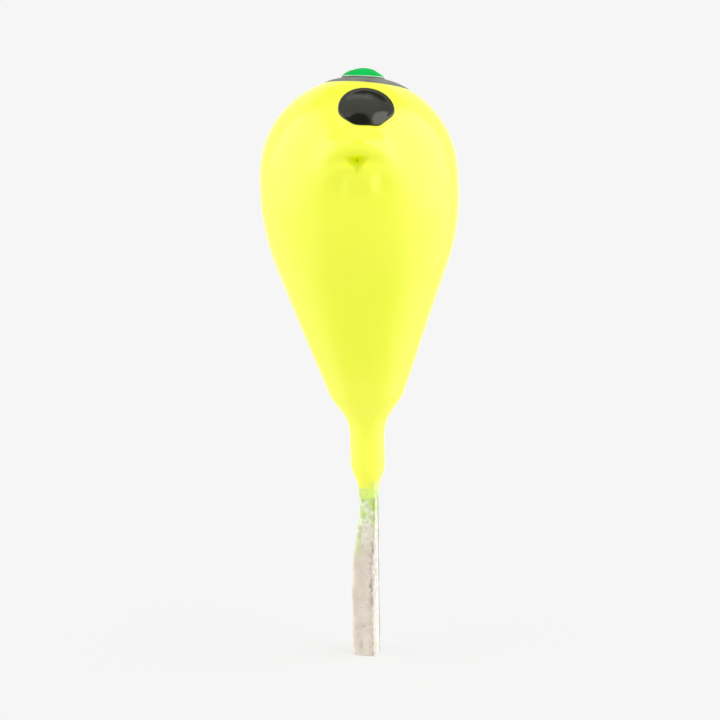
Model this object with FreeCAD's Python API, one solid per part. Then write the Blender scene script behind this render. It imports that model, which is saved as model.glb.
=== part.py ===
import FreeCAD, Part
import math
import os

# A small line-lock float, about 58 mm tall, standing on its stem.
# Line enters the hole between the lips on the front (-Y), meets the upright bore and leaves
# down the stem. A green-headed peg, pushed down the bore, pinches the line.
# Frame: millimetres, +Z up, origin on the bore's axis at the foot of the stem.

Vector = FreeCAD.Vector
UP = Vector(0, 0, 1)
ACROSS = Vector(1, 0, 0)
FRONT = Vector(0, -1, 0)
ORIGIN = Vector(0, 0, 0)

# Body: a pear of revolution whose axis leans a little on the upright bore
BODY_R = 9.77
EQUATOR_Z = 46.7
SIDE_ARC_R = 28.0        # from the equator upwards, through SIDE_ARC_DEG
SIDE_ARC_DEG = 4.7
SHOULDER_ARC_R = 9.35    # on up to SHOULDER_ARC_DEG above the horizontal
SHOULDER_ARC_DEG = 75.3
BELLY_ARC_R = 22.1       # from the equator downwards, to the cone
CONE_DEG = 20.5          # half angle of the cone
CONE_FOOT_Z = 26.1
COAT_THICKNESS = 0.4
BODY_LEAN_DEG = 1.18     # towards -X, about the pivot below
LEAN_PIVOT = Vector(0.14, 0, 15.0)

# Neck: thick coat round the upper stem
NECK_R = 1.70
NECK_TOP_Z = 23.6
NECK_LOW_Z = 19.2
NECK_FILLET_R = 4.0
COAT_END_R = 1.06
COAT_END_Z = 16.2
CORE_END_R = 1.5
CORE_END_Z = 24.6

# Lips round the line hole
MOUTH_X = -0.70
MOUTH_Z = 49.4
UPPER_LIP_Z = 50.8
UPPER_LIP_LENGTH = 7.4
UPPER_LIP_R = 1.75
UPPER_LIP_PROUD = 1.15
LOWER_LIP_Z = 47.7
LOWER_LIP_LENGTH = 5.0
LOWER_LIP_R = 1.45
LOWER_LIP_PROUD = 0.85
LIP_COAT_THICKNESS = 0.9  # the coat is thick over the lips

# Stem: sheet metal folded to a rectangular channel with one open corner
SHEET = 0.2
STEM_SEAM = 0.12
STEM_BEND = 0.25         # flat across each folded corner
STEM_TURN_DEG = 16.5
STEM_SLIM = 1.58         # square section inside the neck
STEM_FOOT_WIDTH = 2.3
STEM_FOOT_DEPTH = 2.6
STEM_FOOT_X = -0.45
STEM_FLARE_LOW_Z = 5.0
STEM_KNEE_Z = 11.7       # half way out to the foot's size
STEM_FLARE_HIGH_Z = 13.8
STEM_TOP_Z = 28.6

# Line passage
LINE_R = 0.30            # bore of the tube and of the bush
TUBE_R = 0.48
TUBE_TOP_Z = 43.5
PASSAGE_R = 0.50         # clear hole through coat, core and sleeve
BUSH_R = 0.70
BUSH_LENGTH = 3.0
BUSH_FRONT_Y = -8.9

# Ballast
BALLAST_R = 2.9
BALLAST_HEIGHT = 5.0

# Peg, its sleeve and its collar
PEG_R = 1.00
PEG_TIP_R = 0.60
PEG_TAPER_Z = 51.5
PEG_TIP_Z = 44.2
PEG_TIP_BEVEL = 0.25
PEG_CLEARANCE = 0.05
SLEEVE_R = 1.50
SLEEVE_FLOOR = 1.0
SLEEVE_TOP_Z = 54.7
COLLAR_STUB_R = 1.90
COLLAR_RING_R = 4.10
COLLAR_RING_X = 0.42
COLLAR_THICKNESS = 0.10
SEAT_Z = 57.50
HEAD_R = 2.10
HEAD_TOP_Z = 58.50
HEAD_EDGE = 0.12         # upright edge under the dome
HEAD_GAP = 0.05
HEAD_SOCKET = 0.30

# Eye spot: a drop of enamel on the crown
SPOT_R = 2.66
SPOT_X = 0.26
SPOT_Z = 54.34
SPOT_THICKNESS = 0.25


def at(r, z):
    """A point of an outline in the XZ plane."""
    return Vector(r, 0, z)


def arc(centre, radius, start_deg, end_deg):
    """An arc in the XZ plane, with angles from +X towards +Z."""
    points = []
    for degrees in (start_deg, (start_deg + end_deg) / 2, end_deg):
        a = math.radians(degrees)
        points.append(centre + at(radius * math.cos(a), radius * math.sin(a)))
    return Part.Arc(*points).toShape()


def line(start, end):
    return Part.LineSegment(start, end).toShape()


def spin(edges):
    """The solid of revolution of an outline whose ends are joined along the axis."""
    first = edges[0].Vertexes[0].Point
    last = edges[-1].Vertexes[-1].Point
    ends = Part.Wire(edges + [line(last, at(0, last.z)), line(at(0, last.z), at(0, first.z)),
                              line(at(0, first.z), first)])
    return Part.Face(ends).revolve(ORIGIN, UP, 360)


def tube(outer_r, inner_r, low_z, high_z):
    """An upright tube on the bore's axis."""
    outer = Part.makeCylinder(outer_r, high_z - low_z, at(0, low_z), UP)
    return outer.cut(rod(inner_r, low_z, high_z))


def rod(radius, low_z, high_z):
    return Part.makeCylinder(radius, high_z - low_z, at(0, low_z), UP)


def lean(shape):
    """Sets a shape made on the body's own axis at its place and lean."""
    placed = shape.copy()
    placed.translate(Vector(LEAN_PIVOT.x, 0, 0))
    placed.rotate(LEAN_PIVOT, Vector(0, 1, 0), -BODY_LEAN_DEG)
    return placed


def crown_and_belly(grow):
    """Edges from the top of the cone up to the crown's top, grown outwards by grow."""
    side = at(BODY_R - SIDE_ARC_R, EQUATOR_Z)
    a = math.radians(SIDE_ARC_DEG)
    step = SIDE_ARC_R - SHOULDER_ARC_R
    shoulder = side + at(step * math.cos(a), step * math.sin(a))
    b = math.radians(SHOULDER_ARC_DEG)
    top_r = SHOULDER_ARC_R + shoulder.x / math.cos(b)
    top = shoulder + at((SHOULDER_ARC_R - top_r) * math.cos(b), (SHOULDER_ARC_R - top_r) * math.sin(b))
    belly = at(BODY_R - BELLY_ARC_R, EQUATOR_Z)
    return [
        arc(belly, BELLY_ARC_R + grow, -CONE_DEG, 0),
        arc(side, SIDE_ARC_R + grow, 0, SIDE_ARC_DEG),
        arc(shoulder, SHOULDER_ARC_R + grow, SIDE_ARC_DEG, SHOULDER_ARC_DEG),
        arc(top, top_r + grow, SHOULDER_ARC_DEG, 90),
    ]


def cone_point(z, grow):
    """The point of the cone's outline at height z."""
    slope = math.radians(CONE_DEG)
    belly_x = BODY_R - BELLY_ARC_R
    reach = (BELLY_ARC_R + grow) / math.cos(slope)
    return at(belly_x + reach - (EQUATOR_Z - z) * math.tan(slope), z)


def round_corner(before, corner, after, radius):
    """The tangent arc that replaces a corner of an outline."""
    to_before = (before - corner).normalize()
    to_after = (after - corner).normalize()
    half = to_before.getAngle(to_after) / 2
    middle = (to_before + to_after).normalize()
    centre = corner + middle * (radius / math.sin(half))
    run = radius / math.tan(half)
    return Part.Arc(corner + to_before * run, centre - middle * radius,
                    corner + to_after * run).toShape()


def body_outside():
    """The pear with its neck, down to where the coat ends on the stem."""
    upper = crown_and_belly(0)
    joint = upper[0].Vertexes[0].Point
    corners = [at(COAT_END_R, COAT_END_Z), at(NECK_R, NECK_LOW_Z), at(NECK_R, NECK_TOP_Z),
               cone_point(CONE_FOOT_Z, 0), joint]
    edges = []
    start = corners[0]
    for i in (1, 2, 3):
        bend = round_corner(corners[i - 1], corners[i], corners[i + 1], NECK_FILLET_R)
        edges += [line(start, bend.Vertexes[0].Point), bend]
        start = bend.Vertexes[-1].Point
    edges.append(line(start, joint))
    return spin(edges + upper)


def body_inside():
    """The pear inside the coat, cut flat above the neck."""
    upper = crown_and_belly(-COAT_THICKNESS)
    joint = upper[0].Vertexes[0].Point
    low = cone_point(CONE_FOOT_Z + COAT_THICKNESS, -COAT_THICKNESS)
    return spin([line(at(CORE_END_R, CORE_END_Z), low), line(low, joint)] + upper)


def grown_crown(grow):
    """The crown's outside moved outwards, as a cutting solid for enamel drops."""
    return spin(crown_and_belly(grow))


def lip(z, length, radius, proud, grow):
    """A long ball lying level across the front, half sunk in the body."""
    stretch = FreeCAD.Matrix()
    stretch.scale(length / 2 + grow, radius + grow, radius + grow)
    ball = Part.makeSphere(1).transformGeometry(stretch)
    ball.translate(Vector(MOUTH_X, -(BODY_R + proud - radius), z))
    return ball


def lips(grow):
    upper = lip(UPPER_LIP_Z, UPPER_LIP_LENGTH, UPPER_LIP_R, UPPER_LIP_PROUD, grow)
    lower = lip(LOWER_LIP_Z, LOWER_LIP_LENGTH, LOWER_LIP_R, LOWER_LIP_PROUD, grow)
    return upper.fuse(lower)


def front_hole(radius, front_y, back_y):
    """A round rod along the line's way in."""
    return Part.makeCylinder(radius, back_y - front_y, Vector(MOUTH_X, front_y, MOUTH_Z), FRONT * -1)


def stem_section(width, depth, centre_x, z, filled):
    """The channel's outline at one height: three folded corners and one open one."""
    w = width / 2
    d = depth / 2
    b = STEM_BEND
    outside = [(-w + b, -d), (-w, -d + b), (-w, d - b), (-w + b, d), (w - b, d), (w, d - b), (w, -d)]
    if filled:
        corners = outside
    else:
        lip_end = w - SHEET - STEM_SEAM
        corners = [(lip_end, -d)] + outside
        corners += [(w - SHEET, -d), (w - SHEET, d - SHEET), (-w + SHEET, d - SHEET)]
        corners += [(-w + SHEET, -d + SHEET), (lip_end, -d + SHEET)]
    turn = math.radians(STEM_TURN_DEG)
    points = []
    for u, v in corners:
        x = centre_x + u * math.cos(turn) + v * math.sin(turn)
        y = v * math.cos(turn) - u * math.sin(turn)
        points.append(Vector(x, y, z))
    return Part.makePolygon(points + points[:1])


def stem(filled):
    foot = (STEM_FOOT_WIDTH, STEM_FOOT_DEPTH, STEM_FOOT_X)
    slim = (STEM_SLIM, STEM_SLIM, 0)
    knee = tuple((low + high) / 2 for low, high in zip(foot, slim))
    heights = [(foot, 0), (foot, STEM_FLARE_LOW_Z), (knee, STEM_KNEE_Z), (slim, STEM_FLARE_HIGH_Z),
               (slim, STEM_TOP_Z)]
    wires = [stem_section(*shape, z, filled) for shape, z in heights]
    return Part.makeLoft(wires, True, True)


def enamel_drop(point, normal, radius, thickness):
    """A round drop of enamel that follows the crown."""
    punch = Part.makeCylinder(radius, 4 * radius, point - normal * radius, normal)
    layer = lean(grown_crown(thickness)).cut(lean(grown_crown(0)))
    return layer.common(punch)


def crown_normal(x, z):
    """(a point on the front of the crown's outside, its outward normal)."""
    crown = lean(grown_crown(0))
    sight = line(Vector(x, -2 * BODY_R, z), Vector(x, 0, z))
    point = min((v.Point for v in crown.section(sight).Vertexes), key=lambda p: p.y)
    for face in crown.Faces:
        if face.distToShape(Part.Vertex(point))[0] < 1e-4:
            return point, face.normalAt(*face.Surface.parameter(point))


def make_eye_spot():
    point, normal = crown_normal(SPOT_X, SPOT_Z)
    return enamel_drop(point, normal, SPOT_R, SPOT_THICKNESS).cut(lips(0))


def make_collar_grommet():
    """A domed ring on the crown, a flat seat for the peg's head and a stub down the bore."""
    seat_r = HEAD_R + PEG_CLEARANCE
    ring = enamel_drop(Vector(COLLAR_RING_X, 0, SEAT_Z), UP, COLLAR_RING_R, COLLAR_THICKNESS)
    body = ring.cut(rod(seat_r, SEAT_Z, SEAT_Z + HEAD_R))
    body = body.fuse(rod(seat_r, SEAT_Z - 2 * COLLAR_THICKNESS, SEAT_Z).cut(lean(grown_crown(0))))
    body = body.fuse(rod(COLLAR_STUB_R, SLEEVE_TOP_Z, SEAT_Z))
    return body.cut(rod(PEG_R + PEG_CLEARANCE, 0, SEAT_Z + HEAD_R)).removeSplitter()


def make_peg_head():
    """The domed head, with a blind socket for the pin."""
    low = SEAT_Z + HEAD_GAP
    edge = low + HEAD_EDGE
    rise = HEAD_TOP_Z - edge
    dome_r = (HEAD_R ** 2 + rise ** 2) / (2 * rise)
    start = math.degrees(math.asin((dome_r - rise) / dome_r))
    outline = [line(at(HEAD_R, low), at(HEAD_R, edge)), arc(at(0, HEAD_TOP_Z - dome_r), dome_r, start, 90)]
    return spin(outline).cut(rod(PEG_R, low, low + HEAD_SOCKET))


def make_peg_pin():
    """A round pin that tapers where it pinches the line."""
    tip = PEG_TIP_Z + PEG_TIP_BEVEL
    outline = [at(PEG_TIP_R - PEG_TIP_BEVEL, PEG_TIP_Z), at(PEG_TIP_R, tip), at(PEG_R, PEG_TAPER_Z),
               at(PEG_R, SEAT_Z + HEAD_GAP + HEAD_SOCKET)]
    return spin([line(a, b) for a, b in zip(outline, outline[1:])])


def make_peg_sleeve():
    """A cup that lines the peg's bore, with holes for the line tube and the line's way in."""
    low = TUBE_TOP_Z - SLEEVE_FLOOR
    cup = tube(SLEEVE_R, PEG_R + PEG_CLEARANCE, TUBE_TOP_Z, SLEEVE_TOP_Z)
    cup = cup.fuse(tube(SLEEVE_R, TUBE_R, low, TUBE_TOP_Z))
    return cup.cut(front_hole(PASSAGE_R, -2 * SLEEVE_R, 0)).removeSplitter()


def make_line_tube():
    return tube(TUBE_R, LINE_R, 0, TUBE_TOP_Z)


def make_line_bush():
    bush = front_hole(BUSH_R, BUSH_FRONT_Y, BUSH_FRONT_Y + BUSH_LENGTH)
    return bush.cut(front_hole(LINE_R, BUSH_FRONT_Y, BUSH_FRONT_Y + BUSH_LENGTH))


def make_ballast_ring():
    return tube(BALLAST_R, TUBE_R, STEM_TOP_Z, STEM_TOP_Z + BALLAST_HEIGHT)


def make_stem_channel():
    return stem(False)


def make_float_core():
    """The light core, with pockets for everything set in it."""
    core = lean(body_inside()).fuse(lips(-LIP_COAT_THICKNESS))
    pockets = [
        rod(TUBE_R, STEM_TOP_Z, TUBE_TOP_Z),
        rod(BALLAST_R, STEM_TOP_Z, STEM_TOP_Z + BALLAST_HEIGHT),
        rod(SLEEVE_R, TUBE_TOP_Z - SLEEVE_FLOOR, SLEEVE_TOP_Z),
        rod(COLLAR_STUB_R, SLEEVE_TOP_Z, SEAT_Z),
        stem(True),
        front_hole(BUSH_R, -2 * BODY_R, BUSH_FRONT_Y + BUSH_LENGTH),
        front_hole(PASSAGE_R, -2 * BODY_R, 0),
    ]
    return core.cut(pockets).removeSplitter()


def make_dip_coat():
    """The skin over the core, thick round the neck, open at the line hole and under the collar."""
    outside = lean(body_outside()).fuse(lips(0))
    inside = lean(body_inside()).fuse(lips(-LIP_COAT_THICKNESS))
    holes = [inside, stem(True), rod(COLLAR_STUB_R, SLEEVE_TOP_Z, SEAT_Z + HEAD_R),
             front_hole(PASSAGE_R, -2 * BODY_R, 0)]
    return outside.cut(holes).removeSplitter()


PARTS = {
    "float_core": make_float_core,
    "dip_coat": make_dip_coat,
    "collar_grommet": make_collar_grommet,
    "peg_head": make_peg_head,
    "peg_pin": make_peg_pin,
    "peg_sleeve": make_peg_sleeve,
    "line_tube": make_line_tube,
    "line_bush": make_line_bush,
    "eye_spot": make_eye_spot,
    "stem_channel": make_stem_channel,
    "ballast_ring": make_ballast_ring,
}

os.makedirs("parts", exist_ok=True)
for name, make in PARTS.items():
    shape = make()
    shape.exportStep("parts/" + name + ".step")
    print(name, "solids", len(shape.Solids), "valid", shape.isValid(), "mm3", round(shape.Volume, 2))
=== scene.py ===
import math

import bmesh
import bpy
import numpy as np
from mathutils import Matrix


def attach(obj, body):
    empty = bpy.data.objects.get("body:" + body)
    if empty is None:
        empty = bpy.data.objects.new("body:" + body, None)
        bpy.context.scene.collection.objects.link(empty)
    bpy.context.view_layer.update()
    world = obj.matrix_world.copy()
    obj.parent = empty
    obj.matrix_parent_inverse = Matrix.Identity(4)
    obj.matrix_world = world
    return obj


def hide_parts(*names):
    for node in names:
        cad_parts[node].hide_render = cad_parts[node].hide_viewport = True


# The looks of a small line-lock float: a dipped, lipped pear on a folded metal stem, with an
# enamel spot, a dark rubber collar and a green-headed peg. Shapes are worked out in millimetres
# in the CAD frame (+Z up, -Y front, origin on the bore at the foot) and turned into metres at
# the end.

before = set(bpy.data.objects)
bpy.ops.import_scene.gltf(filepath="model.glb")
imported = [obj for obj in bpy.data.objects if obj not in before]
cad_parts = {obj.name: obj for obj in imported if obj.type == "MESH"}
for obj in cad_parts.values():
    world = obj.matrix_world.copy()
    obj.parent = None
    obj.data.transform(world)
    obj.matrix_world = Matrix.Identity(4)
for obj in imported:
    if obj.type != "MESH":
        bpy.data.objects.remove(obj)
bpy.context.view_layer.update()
MM = 0.001
SCENE = bpy.context.scene

# The body's outside, as in the CAD part
BODY_R = 9.77
EQUATOR_Z = 46.7
SIDE_ARC_R = 28.0
SIDE_ARC_DEG = 4.7
SHOULDER_ARC_R = 9.35
SHOULDER_ARC_DEG = 75.3
BELLY_ARC_R = 22.1
CONE_DEG = 20.5
CONE_FOOT_Z = 26.1
BODY_LEAN_DEG = 1.18
LEAN_PIVOT = np.array([0.14, 0.0, 15.0])
NECK_R = 1.70
NECK_TOP_Z = 23.6
NECK_LOW_Z = 19.2
NECK_FILLET_R = 4.0
COAT_END_R = 1.06
COAT_END_Z = 16.2
SKIN = 0.25              # thickness shown at the coat's cut ends
HUG_HIGH_Z = 18.6        # below here the coat thins out until it hugs the square stem
HUG_LOW_Z = 16.6
HUG_SKIN = 0.05          # how far it stands off the plain stem there
NECK_SWAY = 0.11         # how far the neck bends out of line towards -X

# The line hole and the lips round it
MOUTH_X = -0.70
MOUTH_Z = 49.4
CREASE_LOW = 0.02        # the hole and the crease's middle sit this far below MOUTH_Z
PINHOLE = (0.10, 0.08)   # half widths of what the lips leave open, across and up
DIMPLE = (0.30, 0.22)    # spread of the dent round it, across and up
DIMPLE_DEPTH = 0.5       # at its middle

# Small unevenness of the coat
BODY_RIPPLE = 0.035
NECK_RIPPLE = 0.03
COAT_END_RAGGED = 0.35   # how far the thin end wanders up and down

# The stem
SHEET = 0.2              # thickness of its metal
STEM_TURN_DEG = 16.5
STEM_SLIM = 1.58
STEM_FOOT_WIDTH = 2.3
STEM_FOOT_DEPTH = 2.6
STEM_FOOT_X = -0.45
STEM_FLARE_LOW_Z = 5.0
STEM_FLARE_HIGH_Z = 13.8
STEM_TOP_Z = 28.6
SEAM_X = 0.30            # where the seam runs, seen from the front
STEM_BEND = 0.28         # radius of the folds

# Peg, collar and spot
PEG_R = 1.00
PEG_TIP_R = 0.60
PEG_TAPER_Z = 51.5
PEG_TIP_Z = 44.2
PEG_CLEARANCE = 0.05
SLEEVE_TOP_Z = 54.7
COLLAR_STUB_R = 1.90
COLLAR_RING_R = 4.10
COLLAR_RING_DEPTH = 3.70   # its radius towards the front and the back
COLLAR_RING_X = 0.42
COLLAR_THICKNESS = 0.10
SEAT_Z = 57.50
HEAD_R = 2.10
HEAD_TOP_Z = 58.50
HEAD_GAP = 0.05
HEAD_SOCKET = 0.30
HEAD_TILT_DEG = 2.9      # the head sits a little lower towards +X
SPOT_R = 2.66
SPOT_TALL = 1.08         # its radius upwards, as a share of its radius across
SPOT_BEVEL = (0.79, 0.875)  # how soon the straight sides of its lower half come in, across and down
SPOT_FLAT = 0.745        # its lower edge is cut flat at this share of the radius, over the upper lip
SPOT_X = 0.26
SPOT_Z = 54.34


# ---------------------------------------------------------------- numbers and outlines

def bell(t):
    """1 at 0, falling smoothly to 0 on both sides."""
    return np.exp(-np.square(t))


def step(t):
    """0 below 0 and 1 above 1, with a smooth rise between."""
    t = np.clip(t, 0.0, 1.0)
    return t * t * (3 - 2 * t)


def waviness(points, size, seed):
    """Smooth seeded noise of about -1 to 1 at points in mm, with swells about size mm across."""
    rng = np.random.default_rng(seed)
    total = np.zeros(points.shape[:-1])
    waves = 9
    for _ in range(waves):
        way = rng.normal(size=3)
        way *= math.pi / (size * np.linalg.norm(way))
        total += np.sin(points @ way + rng.uniform(0, math.tau))
    return total / math.sqrt(waves)


def graded(start, end, centre, reach, fine, coarse, growth):
    """Positions from start to end, fine apart within reach of centre and coarser away from it."""
    places = [start]
    while places[-1] < end:
        away = max(0.0, abs(places[-1] - centre) - reach)
        places.append(places[-1] + min(coarse, fine + growth * away))
    places = np.array(places)
    return start + (places - start) * (end - start) / (places[-1] - start)


def arc(centre, radius, start_deg, end_deg, spacing=0.04):
    """(r, z) points on an arc, with angles from outwards towards up."""
    count = 2 + int(radius * math.radians(abs(end_deg - start_deg)) / spacing)
    a = np.radians(np.linspace(start_deg, end_deg, count))
    return np.column_stack([centre[0] + radius * np.cos(a), centre[1] + radius * np.sin(a)])


def rounded(before, corner, after, radius):
    """(r, z) points of the arc that rounds a corner of an outline."""
    before, corner, after = (np.array(p, float) for p in (before, corner, after))
    to_before = (before - corner) / np.linalg.norm(before - corner)
    to_after = (after - corner) / np.linalg.norm(after - corner)
    half = math.acos(to_before @ to_after) / 2
    middle = (to_before + to_after) / np.linalg.norm(to_before + to_after)
    centre = corner + middle * radius / math.sin(half)
    t = np.linspace(-1, 1, 12)[:, None] * (math.pi / 2 - half)
    across = to_after - to_before
    across /= np.linalg.norm(across)
    return centre - radius * (middle * np.cos(t) - across * np.sin(t))


def even(outline, rows):
    """The outline's points at the given distances along it."""
    run = np.concatenate([[0], np.cumsum(np.hypot(*np.diff(outline, axis=0).T))])
    return np.column_stack([np.interp(rows, run, outline[:, k]) for k in (0, 1)])


def length_of(outline):
    return np.hypot(*np.diff(outline, axis=0).T).sum()


def body_outline():
    """(r, z) points up the coat's outside, from its end on the stem to the crown's top."""
    side = np.array([BODY_R - SIDE_ARC_R, EQUATOR_Z])
    a, b = math.radians(SIDE_ARC_DEG), math.radians(SHOULDER_ARC_DEG)
    shoulder = side + (SIDE_ARC_R - SHOULDER_ARC_R) * np.array([math.cos(a), math.sin(a)])
    top_r = SHOULDER_ARC_R + shoulder[0] / math.cos(b)
    top = shoulder + (SHOULDER_ARC_R - top_r) * np.array([math.cos(b), math.sin(b)])
    belly = np.array([BODY_R - BELLY_ARC_R, EQUATOR_Z])
    slope = math.radians(CONE_DEG)
    cone_x = belly[0] + BELLY_ARC_R / math.cos(slope)
    cone_foot = (cone_x - (EQUATOR_Z - CONE_FOOT_Z) * math.tan(slope), CONE_FOOT_Z)
    upper = arc(belly, BELLY_ARC_R, -CONE_DEG, 0)
    corners = [(COAT_END_R, COAT_END_Z), (NECK_R, NECK_LOW_Z), (NECK_R, NECK_TOP_Z), cone_foot, upper[0]]
    bends = [rounded(*corners[i:i + 3], NECK_FILLET_R) for i in range(3)]
    return np.vstack([corners[:1], *bends, upper, arc(side, SIDE_ARC_R, 0, SIDE_ARC_DEG),
                      arc(shoulder, SHOULDER_ARC_R, SIDE_ARC_DEG, SHOULDER_ARC_DEG),
                      arc(top, top_r, SHOULDER_ARC_DEG, 90)])


OUTLINE = body_outline()


def leaned(points):
    """Points on the body's own axis, moved to its place and lean."""
    a = math.radians(-BODY_LEAN_DEG)
    turn = np.array([[math.cos(a), 0, math.sin(a)], [0, 1, 0], [-math.sin(a), 0, math.cos(a)]])
    return (points + [LEAN_PIVOT[0], 0, 0] - LEAN_PIVOT) @ turn.T + LEAN_PIVOT


def in_body(points):
    """True for points inside the plain crown and belly."""
    a = math.radians(BODY_LEAN_DEG)
    turn = np.array([[math.cos(a), 0, math.sin(a)], [0, 1, 0], [-math.sin(a), 0, math.cos(a)]])
    own = (points - LEAN_PIVOT) @ turn.T + LEAN_PIVOT - [LEAN_PIVOT[0], 0, 0]
    edge = np.interp(own[..., 2], OUTLINE[:, 1], OUTLINE[:, 0], right=-1.0)
    return np.hypot(own[..., 0], own[..., 1]) < edge


def onto_body(points, inwards):
    """Points moved along the direction inwards until they lie on the plain body."""
    low = np.full(points.shape[:-1], -6.0)
    high = np.full(points.shape[:-1], 6.0)
    for _ in range(40):
        middle = (low + high) / 2
        inside = in_body(points + middle[..., None] * inwards)
        high = np.where(inside, middle, high)
        low = np.where(inside, low, middle)
    return points + high[..., None] * inwards


# ---------------------------------------------------------------- meshes

def make_piece(name, body, node, material, rows, drop=None, sharp_deg=50):
    """A piece made of a grid of points in mm, which stands for one CAD node and rides on its body."""
    count, across = rows.shape[:2]
    points = rows.reshape(-1, 3) * MM
    i, j = np.meshgrid(np.arange(count - 1), np.arange(across), indexing="ij")
    k = (j + 1) % across
    quads = np.stack([i * across + j, i * across + k, (i + 1) * across + k, (i + 1) * across + j], axis=-1)
    quads = quads.reshape(-1, 4)
    if drop is not None:
        quads = quads[~drop.reshape(-1)[quads].all(axis=1)]
    mesh = bpy.data.meshes.new(name)
    mesh.from_pydata(points.tolist(), [], quads.tolist())
    shape = bmesh.new()
    shape.from_mesh(mesh)
    bmesh.ops.remove_doubles(shape, verts=shape.verts, dist=1e-7)
    bmesh.ops.delete(shape, geom=[v for v in shape.verts if not v.link_faces], context="VERTS")
    bmesh.ops.recalc_face_normals(shape, faces=shape.faces)
    shape.to_mesh(mesh)
    shape.free()
    mesh.polygons.foreach_set("use_smooth", [True] * len(mesh.polygons))
    mesh.set_sharp_from_angle(angle=math.radians(sharp_deg))
    mesh.materials.append(material)
    piece = bpy.data.objects.new(name, mesh)
    SCENE.collection.objects.link(piece)
    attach(piece, body)
    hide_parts(node)
    return piece


def lathe(outline, count=144, x=0.0):
    """Rows of points of an (r, z) outline turned round an upright axis at x."""
    u = np.linspace(0, math.tau, count, endpoint=False)
    r, z = (c[:, None] for c in np.asarray(outline, float).T)
    return np.stack([x + r * np.sin(u), -r * np.cos(u), z + 0 * u], axis=-1)


# ---------------------------------------------------------------- coat

def spot_frame():
    """The spot's middle on the crown, and the directions out of it, across it and up it."""
    centre = onto_body(np.array([SPOT_X, -2 * BODY_R / 3, SPOT_Z]), np.array([0.0, 1.0, 0.0]))
    own = centre - leaned(np.array([0, 0, SPOT_Z]))
    r = math.hypot(own[0], own[1])
    at_z = np.gradient(OUTLINE[:, 0], OUTLINE[:, 1] + 1e-9 * np.arange(len(OUTLINE)))
    slope = -np.interp(SPOT_Z, OUTLINE[:, 1], at_z)
    normal = np.array([own[0] / r, own[1] / r, slope])
    normal /= np.linalg.norm(normal)
    across = np.cross(normal, [0.0, 0.0, -1.0])
    across /= np.linalg.norm(across)
    return centre, normal, across, np.cross(normal, across)


def spot_edge(u):
    """Share of the radius where the spot ends, at the angle u up from across."""
    flat = np.maximum(0, -np.sin(u + 0.09)) / SPOT_FLAT
    bevel = SPOT_BEVEL[0] * np.abs(np.cos(u)) + SPOT_BEVEL[1] * np.maximum(0, -np.sin(u))
    return (1 + flat ** 18 + bevel ** 18) ** (-1 / 18)


def mouth_relief(p, q):
    """How far the lips stand out of the body, in mm, at p mm across and q mm up from MOUTH_X, MOUTH_Z.

    Each part is a height in mm times bells or steps, whose distances and spreads are in mm too.
    """
    boss = 1.02 * np.exp(-((p / 3.3) ** 2 + ((q + 0.15) / 2.6) ** 2) ** 1.15)
    ridge = 1.30 - 0.07 * p * p
    upper = 0.30 * np.exp(-np.abs((q - ridge) / 1.10) ** 2.6) * step((3.9 - np.abs(p)) / 1.6)
    chin = 0.13 * (bell((p + 0.40) / 0.70) + bell((p - 1.10) / 0.65)) * bell((q + 2.2) / 0.70)
    hollows = 0.27 * bell((p + 1.60) / 0.85) * bell((q + 2.4) / 1.05)
    hollows = hollows + 0.24 * bell((p - 2.15) / 0.85) * bell((q + 2.2) / 1.05)
    crease = (0.50 * bell(p / 1.4) + 0.28 * bell(p / 0.9)) * bell((q + CREASE_LOW + 0.06 * p * p) / 0.42)
    slit = 0.22 * bell(p / 0.24) * step((q + 1.35) / 0.7) * step((0.3 - q) / 0.3)
    return boss + upper + chin - hollows - crease - slit


def sheet_reach(u):
    """How far the coat's thin end reaches from the axis at angle u, close on the square stem."""
    turned = u + math.radians(STEM_TURN_DEG)
    return (STEM_SLIM / 2 + HUG_SKIN) / (np.abs(np.sin(turned)) ** 8 + np.abs(np.cos(turned)) ** 8) ** 0.125


def coat_rows():
    """The coat's plain surface: (rows of points, their outward directions, radii, hug, centring).

    hug is 1 where the coat hugs the stem, and centring is 1 under the collar, which isn't leaned.
    """
    top_cut = length_of(OUTLINE) - COLLAR_STUB_R
    mouth_run = length_of(OUTLINE[OUTLINE[:, 1] < MOUTH_Z])
    runs = graded(0.0, top_cut, mouth_run, reach=2.0, fine=0.065, coarse=0.36, growth=0.035)
    r, z = (c[:, None] for c in even(OUTLINE, runs).T)
    mouth_u = MOUTH_X / BODY_R
    u = graded(-math.pi, math.pi, mouth_u, reach=0.17, fine=0.0068, coarse=0.045, growth=0.08)[:-1]
    hug = step((HUG_HIGH_Z - z) / (HUG_HIGH_Z - HUG_LOW_Z))
    wide = r + hug * (sheet_reach(u) - r)
    plain = np.stack([wide * np.sin(u), -wide * np.cos(u), z + 0 * u], axis=-1)
    rise = np.gradient(np.hstack([r, z]), axis=0)
    rise /= np.linalg.norm(rise, axis=1)[:, None]
    outwards = np.stack([rise[:, 1:] * np.sin(u), -rise[:, 1:] * np.cos(u), -rise[:, :1] + 0 * u], axis=-1)
    rows = leaned(plain)
    rows[..., 0] -= hug * leaned(plain * [0, 0, 1])[..., 0] + NECK_SWAY * bell((z - NECK_LOW_Z - 1) / 3)
    centring = step((COLLAR_RING_R - 0.6 - r) / 1.5) * (z > MOUTH_Z)
    rows[..., 0] -= centring * leaned(np.array([0, 0, SEAT_Z]))[0]
    under = centring[:, 0] > 0
    rows[under] = onto_body(rows[under], np.array([0.0, 0.0, -1.0]))
    return rows, outwards, r, hug, centring


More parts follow.
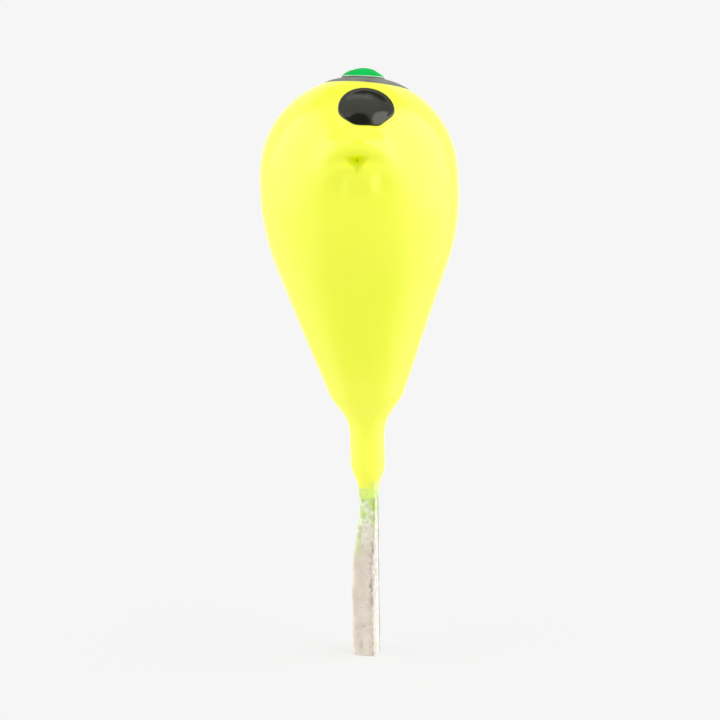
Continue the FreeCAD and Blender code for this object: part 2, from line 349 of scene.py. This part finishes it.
def make_coat(material):
    """The dipped skin: a fine grid round the body, closed over the lips, open at the line hole."""
    rows, outwards, r, hug, centring = coat_rows()
    p = rows[..., 0] - MOUTH_X
    q = rows[..., 2] - MOUTH_Z
    front = rows[..., 1] < 0
    relief = np.where(front, mouth_relief(p, q), 0.0)
    centre, _, across, up = spot_frame()
    aside, above = (rows - centre) @ across / SPOT_R, (rows - centre) @ up / (SPOT_TALL * SPOT_R)
    reach = np.hypot(aside, above) / spot_edge(np.arctan2(above, aside))
    relief *= step((reach - 0.97) / 0.14)
    relief += BODY_RIPPLE * waviness(rows, 7.0, 3) * step((r - 2.0) / 3.0) * (1 - centring)
    relief += NECK_RIPPLE * waviness(rows, 1.6, 8) * step((3.0 - r) / 1.0) * (1 - hug)
    dimple = np.where(front, bell(p / DIMPLE[0]) * bell((q + CREASE_LOW) / DIMPLE[1]), 0.0)
    rows = rows + outwards * relief[..., None]
    rows[..., 1] += DIMPLE_DEPTH * dimple ** 2
    ragged = COAT_END_RAGGED * waviness(rows[:1] * [1, 1, 0], 0.8, 5) * hug
    rows[..., 2] += ragged
    hole = front & (np.hypot(p / PINHOLE[0], (q + CREASE_LOW) / PINHOLE[1]) < 1)
    piece = make_piece("coat_skin", "float", "dip_coat", material, rows, drop=hole,
                       sharp_deg=180)
    thick = piece.modifiers.new("thickness", "SOLIDIFY")
    thick.thickness = SKIN * MM
    thick.offset = -1
    return piece


# ---------------------------------------------------------------- spot and collar

def layer_rows(centre, normal, radii, height, rings, inner=None, edge=np.ones_like):
    """Rows of points of a thin layer lying on the crown, from its middle or an inner row outwards.

    radii are its half widths across and up, and height(s, u) its thickness at the share s of them.
    """
    across = np.cross(normal, [0.0, 1.0, 0.0] if abs(normal[2]) > 0.9 else [0.0, 0.0, -1.0])
    across /= np.linalg.norm(across)
    up = np.cross(normal, across)
    u = np.linspace(0, math.tau, 160, endpoint=False)
    wobble = (1 + 0.012 * np.sin(2 * u + 0.8) + 0.008 * np.sin(3 * u + 2.0)) * edge(u)
    rows = []
    for s in rings:
        reach = s * wobble
        sideways = np.outer(radii[0] * reach * np.cos(u), across)
        ring = centre + sideways + np.outer(radii[1] * reach * np.sin(u), up)
        if inner is not None:
            ring = (1 - s) * inner(u, across, up) + s * (ring - centre) / max(s, 1e-6) + s * centre
        rows.append(onto_body(ring, -normal) + np.reshape(height(s, u), (-1, 1)) * normal)
    return np.array(rows)


def spot_height(s, u):
    """The spot's thickness: a shallow dish with a steep edge, and a rolled rim except along its foot."""
    rim = 0.055 * bell((s - 0.95) / 0.08) * step((np.sin(u) + 0.75) / 0.6)
    edge = math.sqrt(max(0.0, 1 - max(0.0, (s - 0.97) / 0.03) ** 2))
    return (0.10 + rim) * edge + 0.05 * (edge - 1)


def make_spot(material):
    centre, normal, _, _ = spot_frame()
    radii = (SPOT_R, SPOT_TALL * SPOT_R)
    rings = np.concatenate([np.linspace(0, 0.74, 20), np.linspace(0.755, 0.965, 22),
                            np.linspace(0.972, 1.0, 8)])
    rows = layer_rows(centre, normal, radii, spot_height, rings, edge=spot_edge)
    under = layer_rows(centre, normal, radii, lambda s, u: -0.08, np.linspace(1.0, 0.0, 8), edge=spot_edge)
    return make_piece("eye_enamel", "float", "eye_spot", material,
                      np.concatenate([rows, under]))


def tilted(rows):
    """Rows of the seat or the head, set lower towards +X outside the bore."""
    r = np.hypot(rows[..., 0], rows[..., 1])
    rows[..., 2] -= math.tan(math.radians(HEAD_TILT_DEG)) * rows[..., 0] * step((r - PEG_R - 0.05) / 0.3)
    return rows


def make_collar(material):
    """The dark ring on the crown, the seat for the head and the stub that lines the top of the bore."""
    around = 160
    bore_r = PEG_R + PEG_CLEARANCE
    seat_r = HEAD_R + PEG_CLEARANCE
    wall = [(bore_r, SLEEVE_TOP_Z), (bore_r, SEAT_Z - 0.12), (bore_r + 0.03, SEAT_Z - 0.03),
            (bore_r + 0.1, SEAT_Z), (1.6, SEAT_Z), (seat_r - 0.03, SEAT_Z), (seat_r, SEAT_Z + 0.02)]

    def seat_edge(u, across, up):
        return seat_r * (np.outer(np.cos(u), across) + np.outer(np.sin(u), up)) + [0, 0, SEAT_Z]

    def thickness(s, u):
        outer = math.sqrt(max(0.0, 1 - max(0.0, (s - 0.5) / 0.5) ** 2))
        return (COLLAR_THICKNESS - 0.02) * outer * step((s + 0.02) / 0.05) + 0.02 * outer - 0.01

    centre = np.array([COLLAR_RING_X, 0.0, SEAT_Z])
    rings = np.concatenate([np.linspace(0.0, 0.06, 7), np.linspace(0.1, 0.88, 16),
                            np.linspace(0.9, 1.0, 12)])
    radii = (COLLAR_RING_R, COLLAR_RING_DEPTH)
    ring = layer_rows(centre, np.array([0.0, 0.0, 1.0]), radii, thickness, rings, seat_edge)
    inside = tilted(lathe(wall, around))
    stub = lathe([(COLLAR_STUB_R, SEAT_Z - 0.7), (COLLAR_STUB_R, SLEEVE_TOP_Z),
                  (bore_r, SLEEVE_TOP_Z)], around)
    turn = np.argmin(np.linalg.norm(ring[0] - inside[-1][0], axis=1))
    ring = np.roll(ring, -turn, axis=1)
    if np.linalg.norm(ring[0][1] - inside[-1][1]) > np.linalg.norm(ring[0][-1] - inside[-1][1]):
        ring = np.roll(ring[:, ::-1], 1, axis=1)
    under = ring[::-6] - [0, 0, 0.16]
    return make_piece("collar_ring", "float", "collar_grommet", material,
                      np.concatenate([inside, ring, under, stub]))


# ---------------------------------------------------------------- peg

def make_peg_head(material):
    """The domed head, lower towards +X, with a blind socket for the pin."""
    low = SEAT_Z + HEAD_GAP
    rim = 0.11
    rise = HEAD_TOP_Z - low - rim
    dome_r = (HEAD_R ** 2 + rise ** 2) / (2 * rise)
    start = math.degrees(math.asin((dome_r - rise) / dome_r))
    dome = arc((0, HEAD_TOP_Z - dome_r), dome_r, start, 90, 0.06)
    edge = arc((HEAD_R - rim / 2, low + rim / 2), rim / 2, -90, start, 0.01)
    outline = np.vstack([[(0, low + HEAD_SOCKET), (PEG_R, low + HEAD_SOCKET), (PEG_R, low)],
                         edge, dome[3:-1], [(0, HEAD_TOP_Z)]])
    return make_piece("peg_head_dome", "peg", "peg_head", material, tilted(lathe(outline)))


def make_peg_pin(material):
    """The pin, ribbed above its taper, with a rounded tip."""
    tip_round = 0.25
    tip = arc((PEG_TIP_R - tip_round, PEG_TIP_Z + tip_round), tip_round, -90, 0, 0.04)
    taper = np.column_stack([np.linspace(PEG_TIP_R, PEG_R, 40),
                             np.linspace(PEG_TIP_Z + tip_round, PEG_TAPER_Z, 40)])
    top = SEAT_Z + HEAD_GAP + HEAD_SOCKET
    z = np.linspace(PEG_TAPER_Z, top, 90)
    ribs = 0.025 * (0.5 - 0.5 * np.cos((z - PEG_TAPER_Z) * math.tau / 0.55)) * step((57.0 - z) / 0.6)
    shaft = np.column_stack([PEG_R - ribs, z])
    outline = np.vstack([[(0, PEG_TIP_Z)], tip, taper[1:], shaft[1:], [(0, top)]])
    return make_piece("peg_pin_turned", "peg", "peg_pin", material, lathe(outline, 96))


# ---------------------------------------------------------------- stem

def folded_line(width, depth, gap, bend, lap):
    """The middle line of the folded sheet at one height: (points, outward normals), seam to seam.

    gap is how far the seam gapes, bend the folds' radius, and lap how far one edge laps the other.
    """
    w, d = width / 2 - SHEET / 2, depth / 2 - SHEET / 2
    corners = [(w - lap - gap, -d), (-w, -d), (-w, d), (w, d), (w, -d - lap)]
    parts = []
    for i, turn in ((1, 270), (2, 180), (3, 90)):
        x, y = corners[i]
        a = np.radians(np.linspace(turn, turn - 90, 9))
        middle = (x - math.copysign(bend, x), y - math.copysign(bend, y))
        parts.append(np.column_stack([middle[0] + bend * np.cos(a), middle[1] + bend * np.sin(a)]))
    line = []
    start = np.array(corners[0])
    for part in parts:
        line += [start + (part[0] - start) * t for t in np.linspace(0, 1, 15)[:-1]]
        line += list(part[:-1])
        start = part[-1]
    line += [start + (np.array(corners[4]) - start) * t for t in np.linspace(0, 1, 15)]
    line = np.array(line)
    along = np.gradient(line, axis=0)
    along /= np.linalg.norm(along, axis=1)[:, None]
    return line, np.column_stack([along[:, 1], -along[:, 0]])


def make_stem(material):
    """The stem: thin sheet folded round to a corner seam that gapes near the foot, a little dented."""
    heights = np.concatenate([np.linspace(0, 17, 150), np.linspace(17.4, STEM_TOP_Z, 24)])
    turn = math.radians(STEM_TURN_DEG)
    rows = []
    for z in heights:
        rise = (z - STEM_FLARE_LOW_Z) / (STEM_FLARE_HIGH_Z - STEM_FLARE_LOW_Z)
        slim = min(1.0, max(0.0, rise)) ** 2.5
        swell = 0.12 * bell((z - 13.5) / 3)
        width = STEM_FOOT_WIDTH + (STEM_SLIM - STEM_FOOT_WIDTH) * slim + swell
        depth = STEM_FOOT_DEPTH + (STEM_SLIM - STEM_FOOT_DEPTH) * slim
        place = np.array([[0.0, 0.0, z]])
        ragged = abs(waviness(place, 0.35, 11)[0])
        gap = 0.002 + (0.010 + 0.045 * ragged) * bell((z - 7.6) / 2.0)
        skin = SHEET / 2 * (0.6 + 0.4 * step((13 - z) / 4))
        line, out = folded_line(width, depth, gap, STEM_BEND, skin)
        loop = np.vstack([line + out * skin, (line - out * SHEET / 2)[::-1]])
        normals = np.vstack([out, out[::-1]])
        where = np.column_stack([loop, np.full(len(loop), z)])
        dents = 0.022 * waviness(where, 1.3, 21) + 0.008 * waviness(where, 0.4, 22)
        dents = dents * (1 - 0.7 * step(z - 15))
        loop = loop + normals * dents[:, None] * min(1.0, 0.15 + z / 1.5)
        x = STEM_FOOT_X * (1 - slim) + loop[:, 0] * math.cos(turn) + loop[:, 1] * math.sin(turn)
        y = loop[:, 1] * math.cos(turn) - loop[:, 0] * math.sin(turn)
        rows.append(np.column_stack([x, y, np.full(len(x), z)]))
    rows = np.array(rows)
    foot = (rows[:1] + rows[:1, ::-1]) / 2
    top = (rows[-1:] + rows[-1:, ::-1]) / 2
    return make_piece("stem_sheet", "float", "stem_channel", material,
                      np.concatenate([foot, rows, top]), sharp_deg=40)


# ---------------------------------------------------------------- materials

def add_node(tree, kind, inputs, settings):
    """A new shader node, with each input linked to a socket or set to a value."""
    made = tree.nodes.new("ShaderNode" + kind)
    for key, value in settings.items():
        setattr(made, key, value)
    for key, value in inputs.items():
        if isinstance(value, bpy.types.NodeSocket):
            tree.links.new(value, made.inputs[key])
        else:
            made.inputs[key].default_value = value
    return made


class Finish:
    """A material, with short ways to build the patterns that feed its Principled shader."""

    def __init__(self, name, constants):
        self.material = bpy.data.materials.new(name)
        self.material.use_nodes = True
        self.tree = self.material.node_tree
        self.shader = self.tree.nodes["Principled BSDF"]
        for socket, value in constants.items():
            self.shader.inputs[socket].default_value = value
        self.place = self.node("TexCoord", {}).outputs["Object"]

    def node(self, kind, inputs, **settings):
        return add_node(self.tree, kind, inputs, settings)

    def noise(self, size, detail=3.0, stretch=(1, 1, 1)):
        """Noise round 0.5 with features about size mm across, longer where stretch is small."""
        place = self.node("Mapping", {"Vector": self.place, "Scale": stretch}).outputs[0]
        inputs = {"Vector": place, "Scale": 0.5 / (size * MM), "Detail": detail}
        return self.node("TexNoise", inputs).outputs[0]

    def specks(self, spacing, size):
        """1 in small dots about spacing mm apart and size mm across, 0 elsewhere."""
        cell = self.node("TexVoronoi", {"Vector": self.place, "Scale": 1 / (spacing * MM)})
        return self.ramp(cell.outputs["Distance"], size / spacing, size / spacing / 2, 0, 1)

    def height(self):
        """Height above the foot in mm."""
        z = self.node("SeparateXYZ", {"Vector": self.place}).outputs["Z"]
        return self.math("MULTIPLY", z, 1 / MM)

    def off(self, value, centre):
        """Distance in mm, either way, of a coordinate from centre in mm."""
        return self.math("ABSOLUTE", self.math("SUBTRACT", self.math("MULTIPLY", value, 1 / MM), centre), 0)

    def math(self, kind, a, b):
        return self.node("Math", {0: a, 1: b}, operation=kind).outputs[0]

    def ramp(self, value, start, end, low, high):
        """low where value is start, high where it is end, and a smooth change between."""
        inputs = {"Value": value, "From Min": start, "From Max": end, "To Min": low, "To Max": high}
        return self.node("MapRange", inputs, interpolation_type="SMOOTHSTEP").outputs[0]

    def mix(self, share, a, b):
        """Colour a where share is 0 and b where it is 1."""
        colours = [(*c, 1.0) if isinstance(c, tuple) else c for c in (a, b)]
        made = self.node("Mix", {0: share, 6: colours[0], 7: colours[1]}, data_type="RGBA")
        return made.outputs[2]

    def feed(self, socket, value):
        self.tree.links.new(value, self.shader.inputs[socket])

    def bump(self, height, depth):
        """Relief of depth mm where height goes from 0 to 1, on top of any already fed."""
        inputs = {"Height": height, "Distance": depth * MM, "Strength": 1.0}
        normal = self.shader.inputs["Normal"]
        if normal.is_linked:
            inputs["Normal"] = normal.links[0].from_socket
        self.feed("Normal", self.node("Bump", inputs).outputs[0])


def share_by_height(made, low, high, ragged):
    """0 at the height low and 1 at the height high, in mm, with an edge that wanders by ragged."""
    reach = made.math("ADD", made.height(), made.ramp(made.noise(0.45, 6), 0.28, 0.72, -ragged, ragged))
    return made.ramp(reach, low, high, 0, 1)


def coat_finish():
    """Fluorescent yellow-green dip: glossy, faintly rippled, pale and thin where it hugs the stem. Its
    emission is painted light: the coat glows evenly, which flattens its shading.
    """
    # The emission is painted light: a steady yellow-green glow that lifts the coat's shaded parts.
    made = Finish("chartreuse_dip", {"IOR": 1.5, "Emission Color": (0.90, 0.95, 0.0, 1.0),
                                     "Emission Strength": 0.52})
    cloud = made.ramp(made.noise(6.0), 0.35, 0.65, 0, 1)
    tone = made.mix(cloud, (0.365, 0.395, 0.036), (0.380, 0.395, 0.044))
    place = made.node("SeparateXYZ", {"Vector": made.place}).outputs
    # Round the line hole the yellow is painted darker and loses its blue, darkest in the crease: painted
    # shade in the mouth. The same mask also makes the mouth rougher.
    below = made.math("MULTIPLY", made.math("SUBTRACT", MOUTH_Z, made.height()), 0.74)
    mouth_shade = made.ramp(made.math("ADD", made.off(place["X"], MOUTH_X), below), 0.4, 1.6, 1, 0)
    mouth_shade = made.math("MULTIPLY", mouth_shade, made.ramp(made.height(), MOUTH_Z - 0.05, MOUTH_Z + 0.75, 1, 0))
    mouth_shade = made.math("MULTIPLY", mouth_shade, made.ramp(place["Y"], 0, -1.0 * MM, 0, 1))
    tone = made.mix(mouth_shade, tone, (0.33, 0.37, 0.0))
    tone = made.mix(made.ramp(mouth_shade, 0.3, 1.0, 0, 1), tone, (0.14, 0.22, 0.0))
    tone = made.mix(made.ramp(made.height(), 30, 25, 0, 1), tone, (0.425, 0.425, 0.062))
    tone = made.mix(share_by_height(made, 17.9, 16.5, 0.6), tone, (0.20, 0.36, 0.15))
    flakes = made.ramp(made.noise(0.2, 6), 0.50, 0.60, 0, 0.7)
    flakes = made.math("MULTIPLY", flakes, made.ramp(made.height(), 18.0, 16.6, 0, 1))
    tone = made.mix(flakes, tone, (0.14, 0.23, 0.30))
    tone = made.mix(made.specks(3.1, 0.09), tone, (0.10, 0.09, 0.01))
    made.feed("Base Color", tone)
    sheen = made.ramp(made.noise(0.9, 4), 0.3, 0.7, 0.17, 0.27)
    made.feed("Roughness", made.math("ADD", sheen, made.math("MULTIPLY", mouth_shade, 0.4)))
    made.bump(made.noise(1.1, 2), 0.006)
    made.bump(made.noise(0.16, 3), 0.0012)
    return made.material


def black_finish():
    """Black enamel with faint dust and tiny pits."""
    made = Finish("black_enamel", {"IOR": 1.5, "Specular Tint": (1.0, 0.98, 0.82, 1.0)})
    dust = made.specks(0.8, 0.045)
    tone = made.mix(made.noise(1.5), (0.004, 0.004, 0.003), (0.009, 0.009, 0.006))
    made.feed("Base Color", made.mix(dust, tone, (0.22, 0.22, 0.20)))
    made.feed("Roughness", made.ramp(made.noise(0.3, 5), 0.35, 0.7, 0.055, 0.13))
    made.bump(made.noise(0.8, 2), 0.004)
    return made.material


def rubber_finish():
    """Dark grey rubber with a dusty bloom, a little scuffed."""
    made = Finish("collar_rubber", {"IOR": 1.45})
    bloom = made.ramp(made.noise(0.7, 5), 0.35, 0.65, 0, 1)
    tone = made.mix(bloom, (0.118, 0.118, 0.108), (0.165, 0.165, 0.15))
    made.feed("Base Color", made.mix(made.specks(0.6, 0.06), tone, (0.40, 0.40, 0.36)))
    made.feed("Roughness", made.ramp(bloom, 0, 1, 0.38, 0.55))
    made.bump(made.noise(0.25, 4), 0.004)
    return made.material


def green_finish():
    """Green paint on the head, with a pale thin line round its lower edge that is a painted highlight."""
    made = Finish("green_enamel", {"IOR": 1.45, "Specular IOR Level": 0.05})
    place = made.node("SeparateXYZ", {"Vector": made.place}).outputs
    tilt = math.tan(math.radians(HEAD_TILT_DEG))
    level = made.math("ADD", place["Z"], made.math("MULTIPLY", place["X"], tilt))
    level = made.math("MULTIPLY", level, 1 / MM)
    level = made.math("ADD", level, made.ramp(made.noise(0.3), 0.3, 0.7, -0.02, 0.02))
    # A pale thin line round the head's lower edge is a painted highlight.
    rim_highlight = made.ramp(level, SEAT_Z + HEAD_GAP + 0.13, SEAT_Z + HEAD_GAP + 0.10, 0, 1)
    cloud = made.ramp(made.noise(1.2), 0.35, 0.65, 0, 1)
    tone = made.mix(cloud, (0.001, 0.36, 0.055), (0.002, 0.42, 0.075))
    made.feed("Base Color", made.mix(rim_highlight, tone, (0.42, 0.60, 0.44)))
    made.feed("Roughness", made.ramp(made.noise(0.4, 4), 0.3, 0.7, 0.40, 0.55))
    made.bump(made.noise(0.7, 2), 0.008)
    return made.material


def plastic_finish(name, colour):
    """Satin moulded plastic with fine flow marks."""
    made = Finish(name, {"IOR": 1.46})
    darker = tuple(0.86 * c for c in colour)
    flow = made.ramp(made.noise(1.4, 4, (1, 1, 0.35)), 0.3, 0.7, 0, 1)
    made.feed("Base Color", made.mix(flow, colour, darker))
    made.feed("Roughness", made.ramp(made.noise(0.25, 5), 0.3, 0.7, 0.32, 0.5))
    made.bump(made.noise(0.2, 4, (1, 1, 0.3)), 0.003)
    return made.material


def brass_finish():
    """Drawn brass, dulled in patches, with fine lines along Z."""
    made = Finish("drawn_brass", {"Metallic": 1.0})
    worn = made.ramp(made.noise(1.2, 5), 0.35, 0.7, 0, 1)
    made.feed("Base Color", made.mix(worn, (0.80, 0.58, 0.25), (0.50, 0.33, 0.13)))
    made.feed("Roughness", made.ramp(made.noise(0.5, 4), 0.3, 0.7, 0.24, 0.46))
    made.bump(made.noise(0.08, 3, (1, 1, 0.04)), 0.002)
    return made.material


def balsa_finish():
    """Turned balsa: pale, with long fibres along Z and short pores."""
    made = Finish("balsa", {"IOR": 1.4})
    fibres = made.ramp(made.noise(0.35, 6, (1, 1, 0.06)), 0.3, 0.7, 0, 1)
    rings = made.ramp(made.noise(2.2, 3, (1, 1, 0.04)), 0.38, 0.62, 0, 1)
    tone = made.mix(fibres, (0.74, 0.56, 0.36), (0.58, 0.41, 0.24))
    made.feed("Base Color", made.mix(made.math("MULTIPLY", rings, 0.4), tone, (0.45, 0.30, 0.17)))
    made.feed("Roughness", made.ramp(fibres, 0, 1, 0.55, 0.75))
    made.bump(fibres, 0.02)
    return made.material


def stem_finish():
    """Dull tinned sheet, mottled, stained along the seam, with paint flaking off down it from the neck. Its
    +X side is painted lighter and its far +X edge darker: painted light and shade.
    """
    made = Finish("tinned_sheet", {"Metallic": 0.1})
    place = made.node("SeparateXYZ", {"Vector": made.place}).outputs
    height = made.height()
    mottle = made.ramp(made.noise(0.8, 6), 0.32, 0.68, 0, 1)
    tone = made.mix(mottle, (0.69, 0.62, 0.54), (0.58, 0.51, 0.425))
    # The +X side is painted lighter and greyer: painted light, as if lit from the right.
    tone = made.mix(made.ramp(place["X"], 0.4 * MM, 0.6 * MM, 0, 0.8), tone, (0.72, 0.68, 0.64))
    fine = made.noise(0.2, 6)
    stain = made.ramp(made.off(place["X"], SEAM_X), 0.15, 0.75, 0.75, 0)
    stain = made.math("MULTIPLY", stain, made.ramp(fine, 0.46, 0.58, 0, 1))
    stain = made.math("MULTIPLY", stain, made.ramp(height, 4.5, 6.5, 0.35, 1))
    tone = made.mix(stain, tone, (0.40, 0.36, 0.28))
    # Patches of darker brown, stronger towards the foot.
    dark_low_patches = made.ramp(made.noise(0.35, 6, (1, 1, 0.6)), 0.58, 0.72, 0, 1)
    dark_low_patches = made.math("MULTIPLY", dark_low_patches, made.ramp(height, 6.0, 0.5, 0.1, 0.45))
    tone = made.mix(dark_low_patches, tone, (0.42, 0.32, 0.24))
    tone = made.mix(made.specks(0.55, 0.07), tone, (0.22, 0.17, 0.12))
    drip = made.ramp(place["X"], -0.5 * MM, -1.0 * MM, 0, 0.6)
    drip = made.math("MULTIPLY", drip, made.ramp(height, 9.3, 11.0, 0, 1))
    tone = made.mix(drip, tone, (0.50, 0.58, 0.25))
    tone = made.mix(share_by_height(made, 12.6, 16.4, 1.6), tone, (0.49, 0.66, 0.16))
    silver = made.ramp(fine, 0.50, 0.60, 0, 0.75)
    silver = made.math("MULTIPLY", silver, made.ramp(height, 10.5, 13.5, 0, 1))
    tone = made.mix(silver, tone, (0.72, 0.78, 0.62))
    worn = made.ramp(fine, 0.45, 0.36, 0, 0.5)
    worn = made.math("MULTIPLY", worn, made.ramp(height, 9.5, 12.5, 0, 1))
    tone = made.mix(worn, tone, (0.34, 0.36, 0.22))
    # A thin dark line near the +X edge is painted shade, for the far edge of the sheet in shadow.
    bend = made.ramp(place["X"], 0.82 * MM, 0.87 * MM, 0, 0.9)
    tone = made.mix(bend, tone, (0.30, 0.29, 0.27))
    made.feed("Base Color", tone)
    made.feed("Roughness", made.ramp(mottle, 0, 1, 0.42, 0.62))
    made.bump(made.noise(0.5, 5), 0.02)
    made.bump(fine, 0.008)
    return made.material


def dress_nodes():
    """Gives the CAD nodes inside the float their materials."""
    brass = brass_finish()
    dress = {
        "float_core": balsa_finish(),
        "peg_sleeve": plastic_finish("sleeve_plastic", (0.72, 0.72, 0.68)),
        "line_tube": brass,
        "line_bush": brass,
        "ballast_ring": brass,
    }
    for node, material in dress.items():
        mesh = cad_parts[node].data
        mesh.materials.clear()
        mesh.materials.append(material)


# ---------------------------------------------------------------- studio

BACKDROP = 0.9216        # the plain pale backdrop, which the floor also meets
AMBIENT = 0.85           # the tent's own brightness
# Lights: azimuth from the camera to its right, elevation, full within, none beyond, strength
LIGHTS = [
    (-86, 24, 28, 42, 2.7),
    (-88, 0, 25, 65, 1.6),
    (84, 24, 30, 43, 3.2),
    (88, 0, 25, 60, 2.1),
    (55, 56, 12, 17, 3.1),
    (-36, 64, 7, 10, 2.6),
    (0, 88, 14, 30, 1.05),
    (180, 78, 3, 6, 1.45),
    (150, 77, 3, 6, 1.45),
    (210, 77, 3, 6, 1.45),
]
# Dark gaps between the lights: azimuth, elevation, full within, none beyond, what is left
SHADES = [
    (3, 64, 9, 12, 0.16),
    (180, 54, 16, 20, 0.22),
    (138, 59, 10, 14, 0.25),
    (222, 59, 10, 14, 0.25),
]


def direction(azimuth, elevation):
    a, e = math.radians(azimuth), math.radians(elevation)
    return (math.sin(a) * math.cos(e), -math.cos(a) * math.cos(e), math.sin(e))


def light_studio():
    """A bright white tent with lights and dark gaps, seen by the camera as a plain pale backdrop."""
    world = bpy.data.worlds.new("studio")
    SCENE.world = world
    world.use_nodes = True
    tree = world.node_tree
    tree.nodes.clear()

    def node(kind, inputs, **settings):
        made = add_node(tree, kind, inputs, settings)
        return made.outputs[0] if len(made.outputs) == 1 else made

    towards = tree.nodes.new("ShaderNodeTexCoord").outputs["Generated"]

    def patch(azimuth, elevation, inner, outer, low, high):
        aim = direction(azimuth, elevation)
        angle = node("VectorMath", {0: towards, 1: aim}, operation="DOT_PRODUCT").outputs["Value"]
        inputs = {"Value": angle, "From Min": math.cos(math.radians(outer)),
                  "From Max": math.cos(math.radians(inner)), "To Min": low, "To Max": high}
        return node("MapRange", inputs, interpolation_type="SMOOTHSTEP").outputs[0]

    level = AMBIENT
    for azimuth, elevation, inner, outer, strength in LIGHTS:
        level = node("Math", {0: level, 1: patch(azimuth, elevation, inner, outer, 0, strength)},
                     operation="MAXIMUM")
    for azimuth, elevation, inner, outer, left in SHADES:
        level = node("Math", {0: level, 1: patch(azimuth, elevation, inner, outer, 1, left)},
                     operation="MULTIPLY")
    tent = node("Background", {"Color": (1, 1, 1, 1), "Strength": level})
    plain = node("Background", {"Color": (1, 1, 1, 1), "Strength": BACKDROP})
    seen = tree.nodes.new("ShaderNodeLightPath").outputs["Is Camera Ray"]
    out = tree.nodes.new("ShaderNodeOutputWorld")
    tree.links.new(node("MixShader", {0: seen, 1: tent, 2: plain}), out.inputs["Surface"])


FLOOR_LEVEL = -0.01      # mm, just under the foot


def make_floor():
    """A wide pale disc which takes a faint shadow round the foot and elsewhere matches the backdrop."""
    made = Finish("pale_floor", {"Base Color": (0.14, 0.14, 0.14, 1), "Roughness": 0.9,
                                 "Specular IOR Level": 0.0, "Emission Color": (1, 1, 1, 1),
                                 "Emission Strength": 0.723})
    far = made.node("VectorMath", {0: made.place}, operation="LENGTH").outputs["Value"]
    share = made.ramp(far, 12 * MM, 38 * MM, 0, 1)
    glow = made.node("Emission", {"Color": (1, 1, 1, 1), "Strength": BACKDROP}).outputs[0]
    mixed = made.node("MixShader", {0: share, 1: made.shader.outputs[0], 2: glow}).outputs[0]
    made.tree.links.new(mixed, made.tree.nodes["Material Output"].inputs["Surface"])
    around = 64
    rows = lathe([(0, FLOOR_LEVEL), (60, FLOOR_LEVEL), (1500, FLOOR_LEVEL)], around) * MM
    mesh = bpy.data.meshes.new("floor")
    faces = [(i * around + j, i * around + (j + 1) % around, (i + 1) * around + (j + 1) % around,
              (i + 1) * around + j) for i in range(2) for j in range(around)]
    mesh.from_pydata(rows.reshape(-1, 3).tolist(), [], faces)
    mesh.materials.append(made.material)
    floor = bpy.data.objects.new("floor", mesh)
    SCENE.collection.objects.link(floor)
    floor.visible_glossy = False


CAMERA_PLACE = (-1.13, -160.0, 46.643)   # mm from the foot, before the roll
CAMERA_DOWN_DEG = 6.007
CAMERA_ROLL_DEG = 0.83
CAMERA_LENS = 80.775


def make_camera():
    """A long lens in front, a little lower than the crown, looking slightly down."""
    lens = bpy.data.cameras.new("camera")
    lens.lens = CAMERA_LENS
    lens.sensor_width = 36.0
    lens.clip_start = 0.005
    camera = bpy.data.objects.new("camera", lens)
    SCENE.collection.objects.link(camera)
    place = Matrix.Translation([c * MM for c in CAMERA_PLACE])
    tilt = Matrix.Rotation(math.radians(90 - CAMERA_DOWN_DEG), 4, "X")
    camera.matrix_world = Matrix.Rotation(math.radians(CAMERA_ROLL_DEG), 4, "Y") @ place @ tilt
    SCENE.camera = camera


SCENE.view_settings.view_transform = "Standard"
make_camera()
light_studio()
make_floor()
dress_nodes()
black = black_finish()
make_coat(coat_finish())
make_spot(black)
make_collar(rubber_finish())
make_peg_head(green_finish())
make_peg_pin(plastic_finish("pin_plastic", (0.78, 0.79, 0.75)))
make_stem(stem_finish())
